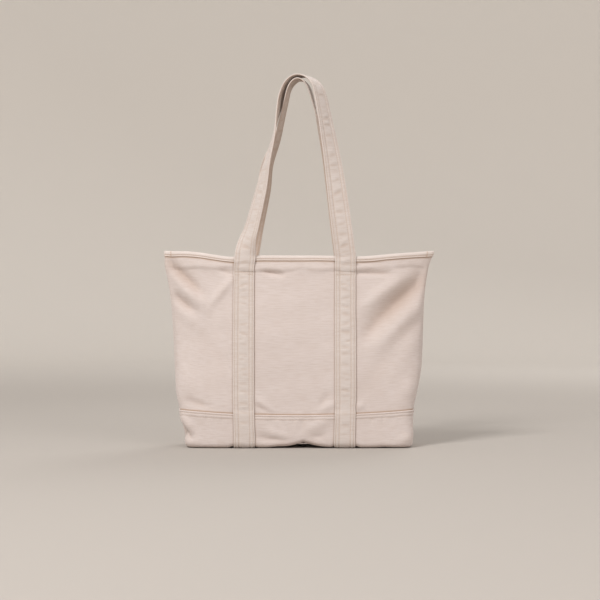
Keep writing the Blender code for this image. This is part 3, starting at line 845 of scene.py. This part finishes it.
def strap(word, looks, seed):
    """One long strap: up the left of a side, over as the handle, and down the right."""
    across, inner, outer, groove = strap_profile()
    centre, sideways, out = free_frames(word)
    bars = [FOLD - row for row in BAR_ROWS]
    rise = refined(spaced(TURN_RADIUS, FREE_FROM, 0.0030), bars, 0.0018)
    h = np.concatenate([np.linspace(STRAP_FOOT, TURN_RADIUS, 9)[:-1], rise[:-1]])
    steps = np.linalg.norm(np.diff(centre, axis=0), axis=1)
    free = h[-1] + 0.003 + np.concatenate([[0], np.cumsum(steps)])
    right = free[-1] + (FREE_FROM - h[::-1])
    along = np.concatenate([h, free, right])
    loose = smooth((along - STRAP_FOOT - 0.012) / 0.012) * smooth((along[-1] - along - 0.012) / 0.012)
    ripple = puckers(across, along, seed) * loose[:, None]
    other_end = along[-1] + STRAP_FOOT
    bar = sum(bump(along, row, 0.0009) + bump(along, other_end - row, 0.0009) for row in bars)
    bar = bar[:, None] * (np.abs(across) < STITCH_COLUMNS[0] + 0.0004)[None, :]
    ripple = ripple - 0.0003 * bar

    def face(lift, extra):
        lift = lift[None, :] + extra
        left_leg = leg_points(word, -STRAP_CENTRE, h, across, lift[: len(h)])
        loop = lift[len(h) : len(h) + len(free)]
        handle = (
            centre[:, None, :]
            + sideways[:, None, :] * across[None, :, None]
            + out[:, None, :] * loop[..., None]
        )
        right_leg = leg_points(word, STRAP_CENTRE, h[::-1], -across, lift[len(h) + len(free) :])
        return np.concatenate([left_leg, handle, right_leg])

    low, high = face(inner, ripple * 0.15), face(outer, ripple)
    pattern = pattern_of(across[None, :] + 1.0, along[:, None])
    # Painted shade in the stitch grooves, in the valleys of the puckers and along the bar stitches; the
    # strap's inner face takes more painted shade
    crease = groove[None, :] + np.clip(-ripple / 0.0012, 0, 0.30) + 0.2 * bar
    piece = cloth_piece(f"{word}_strap", low, high, pattern, looks["strap"], crease, 0.45)
    folds(piece, word)
    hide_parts(f"{word}_strap_left", f"{word}_strap_right", f"{word}_handle")

    start, end = BARE_ROWS, len(along) - BARE_ROWS
    far, near = STITCH_COLUMNS
    for column, mark in zip((-far, -near, near, far), ("outer", "outer_inner", "inner_outer", "inner")):
        k = int(np.argmin(np.abs(across - column)))
        line = high[start:end, k]
        normals = (high - low)[start:end, k]
        row = stitch_row(f"{word}_strap_stitches_{mark}", line, normals, looks["thread"])
        folds(row, word)
        if mark == "outer":
            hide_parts(f"{word}_handle_stitching_outer", f"{word}_strap_stitching_left")
        if mark == "inner":
            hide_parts(f"{word}_handle_stitching_inner", f"{word}_strap_stitching_right")
    for hand, sign in (("left", -1), ("right", 1)):
        for number, down in enumerate(BAR_ROWS):
            s = sign * STRAP_CENTRE + spaced(-BAR_HALF, BAR_HALF, 0.001)
            height = FOLD - down
            lift = float(strap_offset(np.array(height))) + STRAP_THICK
            name = f"{word}_strap_bar_{hand}_{number + 1}"
            row = seam_on_cloth(name, word, s, height, lift, looks["thread"])
            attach(row, word)


def folds(piece, word):
    """Bakes the piece's placement into its mesh."""
    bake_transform(piece)


# Under and inside the bag


def under_bag(looks):
    across, inner, outer, groove = strap_profile()
    reach = BASE_DEPTH - TURN_RADIUS + STRAP_FOOT - 0.0004
    along = spaced(-reach, reach, 0.003)
    for hand, sign in (("left", -1), ("right", 1)):
        x = (sign * STRAP_CENTRE + across)[None, :]

        def face(lift):
            z = STRAP_THICK + 0.0004 - lift[None, :] + 0 * along[:, None]
            return np.stack(np.broadcast_arrays(x, along[:, None], z), axis=-1)

        pattern = pattern_of(across[None, :] + 1.0, along[:, None])
        low, high = face(inner), face(outer)
        piece = cloth_piece(f"base_strap_{hand}", low, high, pattern, looks["strap"], groove)
        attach(piece, "base")
        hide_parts(f"under_strap_{hand}")

    # The floor: a cloth that fills the base outline just above the turned-under edges
    s = spaced(-LAST, LAST, 0.006)
    rim_x, rim_y = outline(TURN_RADIUS, np.abs(s))
    rim_x = np.copysign(rim_x, s) * 0.985
    share = np.linspace(-1, 1, 41)[:, None]
    y = rim_y[None, :] * 0.95 * share
    x = rim_x[None, :] + 0 * y
    sag = 0.0007 * np.sin(31 * x + 1.2) * np.cos(45 * y) + 0.0004 * np.sin(83 * x - 60 * y)
    z = BOTTOM + 0.0012 + sag * (1 - share**2)
    low = np.stack([x, y, z], axis=-1)
    high = low + np.array([0, 0, CLOTH])
    piece = cloth_piece("base_floor_cloth", low, high, low[..., :2], looks["canvas"])
    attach(piece, "base")
    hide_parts("base_floor")

    rows = spaced(0.016, CLOTH_HEIGHT - FACING_HEIGHT, 0.006)
    wide = np.linspace(0.0012, 0.0110, 6)
    for hand, sign in (("left", -1), ("right", 1)):
        edge = on_cloth("front", np.full(len(rows), sign * LAST), rows, 0.0)
        wave = 0.0009 * np.sin(rows * 61 + sign)[:, None] * (wide / 0.011)[None, :] ** 2

        def leaf(side):
            x = edge[:, :1] - sign * wide[None, :]
            y = side * 0.0011 + wave * 3
            return np.stack(np.broadcast_arrays(x, y, edge[:, 2:3]), axis=-1)

        pattern = pattern_of(wide[None, :], rows[:, None])
        piece = cloth_piece(f"side_seam_allowance_{hand}", leaf(1), leaf(-1), pattern, looks["canvas"])
        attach(piece, "base")
        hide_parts(f"side_seam_{hand}")

        low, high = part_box(f"corner_seam_{hand}")
        y = spaced(low.y, high.y, 0.004)
        z = np.linspace(BOTTOM + 0.0045, BOTTOM + 0.0125, 5)
        middle = (low.x + high.x) / 2 - sign * 0.004
        lean = 0.0008 * np.sin(y * 95)[None, :] * np.linspace(0, 1, 5)[:, None]

        def fin(out):
            return np.stack(np.broadcast_arrays(middle + out + lean, y[None, :], z[:, None]), axis=-1)

        pattern = pattern_of(y[None, :], z[:, None])
        low, high = fin(-0.0011), fin(0.0011)
        piece = cloth_piece(f"corner_seam_allowance_{hand}", low, high, pattern, looks["canvas"])
        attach(piece, "base")
        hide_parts(f"corner_seam_{hand}")


# The studio


def studio():
    world = bpy.data.worlds.new("studio")
    bpy.context.scene.world = world
    bpy.context.scene.view_settings.view_transform = "Standard"
    world.use_nodes = True
    air = world.node_tree.nodes["Background"]
    air.inputs["Color"].default_value = linear("FAF7F4")
    air.inputs["Strength"].default_value = 0.62

    # A round sweep: a flat floor, a curve, and an upright wall
    flat, radius, top = 3.4, 1.3, 3.6
    mesh = bmesh.new()
    turns = np.linspace(0, math.pi / 2, 14)
    curve = [(flat + radius * math.sin(a), radius * (1 - math.cos(a))) for a in turns]
    corners = [(0.0, 0.0), *curve, (flat + radius, top)]
    profile = [mesh.verts.new((x, 0, z - 0.0002)) for x, z in corners]
    edges = [mesh.edges.new(pair) for pair in zip(profile, profile[1:])]
    about = {"axis": (0, 0, 1), "cent": (0, 0, 0), "angle": 2 * math.pi}
    bmesh.ops.spin(mesh, geom=profile + edges, steps=72, use_merge=True, **about)
    bmesh.ops.remove_doubles(mesh, verts=mesh.verts, dist=0.0001)
    bmesh.ops.recalc_face_normals(mesh, faces=mesh.faces)
    if sum(face.normal.z * face.calc_area() for face in mesh.faces) < 0:
        bmesh.ops.reverse_faces(mesh, faces=mesh.faces[:])
    data = bpy.data.meshes.new("studio_floor")
    mesh.to_mesh(data)
    mesh.free()
    paper = bpy.data.materials.new("matt_studio_paper")
    paper.use_nodes = True
    tree = paper.node_tree
    shader = tree.nodes["Principled BSDF"]
    # The paper is darker near the bag and lighter towards the wall: painted shade that tones down the
    # floor where the lamps light it most
    place = add_node(tree, "ShaderNodeTexCoord").outputs["Object"]
    away = add_node(tree, "ShaderNodeVectorMath", {"operation": "LENGTH"}, {0: place}).outputs["Value"]
    span = {"interpolation_type": "SMOOTHSTEP", "From Min": 1.2, "From Max": 4.2}
    share = add_node(tree, "ShaderNodeMapRange", span, {"Value": away}).outputs["Result"]
    tones = {"data_type": "RGBA", 6: linear("B6B0AA"), 7: linear("E4DFD9")}
    tone = add_node(tree, "ShaderNodeMix", tones, {0: share}).outputs[2]
    tree.links.new(tone, shader.inputs["Base Color"])
    shader.inputs["Roughness"].default_value = 0.95
    shader.inputs["Specular IOR Level"].default_value = 0.1
    floor = finish_piece("studio_floor", data, paper)

    def area(name, place, aim, size, power, colour):
        lamp = bpy.data.lights.new(name, "AREA")
        lamp.shape, lamp.size, lamp.size_y = "RECTANGLE", size[0], size[1]
        lamp.energy, lamp.color = power, linear(colour)[:3]
        holder = bpy.data.objects.new(name, lamp)
        holder.location = place
        holder.rotation_euler = (Vector(aim) - Vector(place)).to_track_quat("-Z", "Y").to_euler()
        bpy.context.scene.collection.objects.link(holder)

    area("key_softbox", (-1.6, -2.2, 2.9), (0, 0, 0.25), (1.0, 1.0), 92, "FFFDFB")
    area("fill_panel", (2.0, -2.2, 1.5), (0, 0, 0.3), (1.8, 1.8), 19, "FFFAFA")
    area("back_panel", (1.3, 2.3, 2.4), (0, 0, 0.3), (1.6, 1.6), 26, "FFFEFC")

    camera = bpy.data.cameras.new("camera")
    camera.lens, camera.sensor_width = 85, 36
    holder = bpy.data.objects.new("camera", camera)
    holder.location = (0.0099, -2.59, 0.2655)
    holder.rotation_euler = (math.pi / 2, 0, 0)
    bpy.context.scene.collection.objects.link(holder)
    bpy.context.scene.camera = holder


looks = make_materials()
studio()
for number, word in enumerate(("front", "rear")):
    side_of_bag(word, looks)
    strap(word, looks, 11 + number)
under_bag(looks)
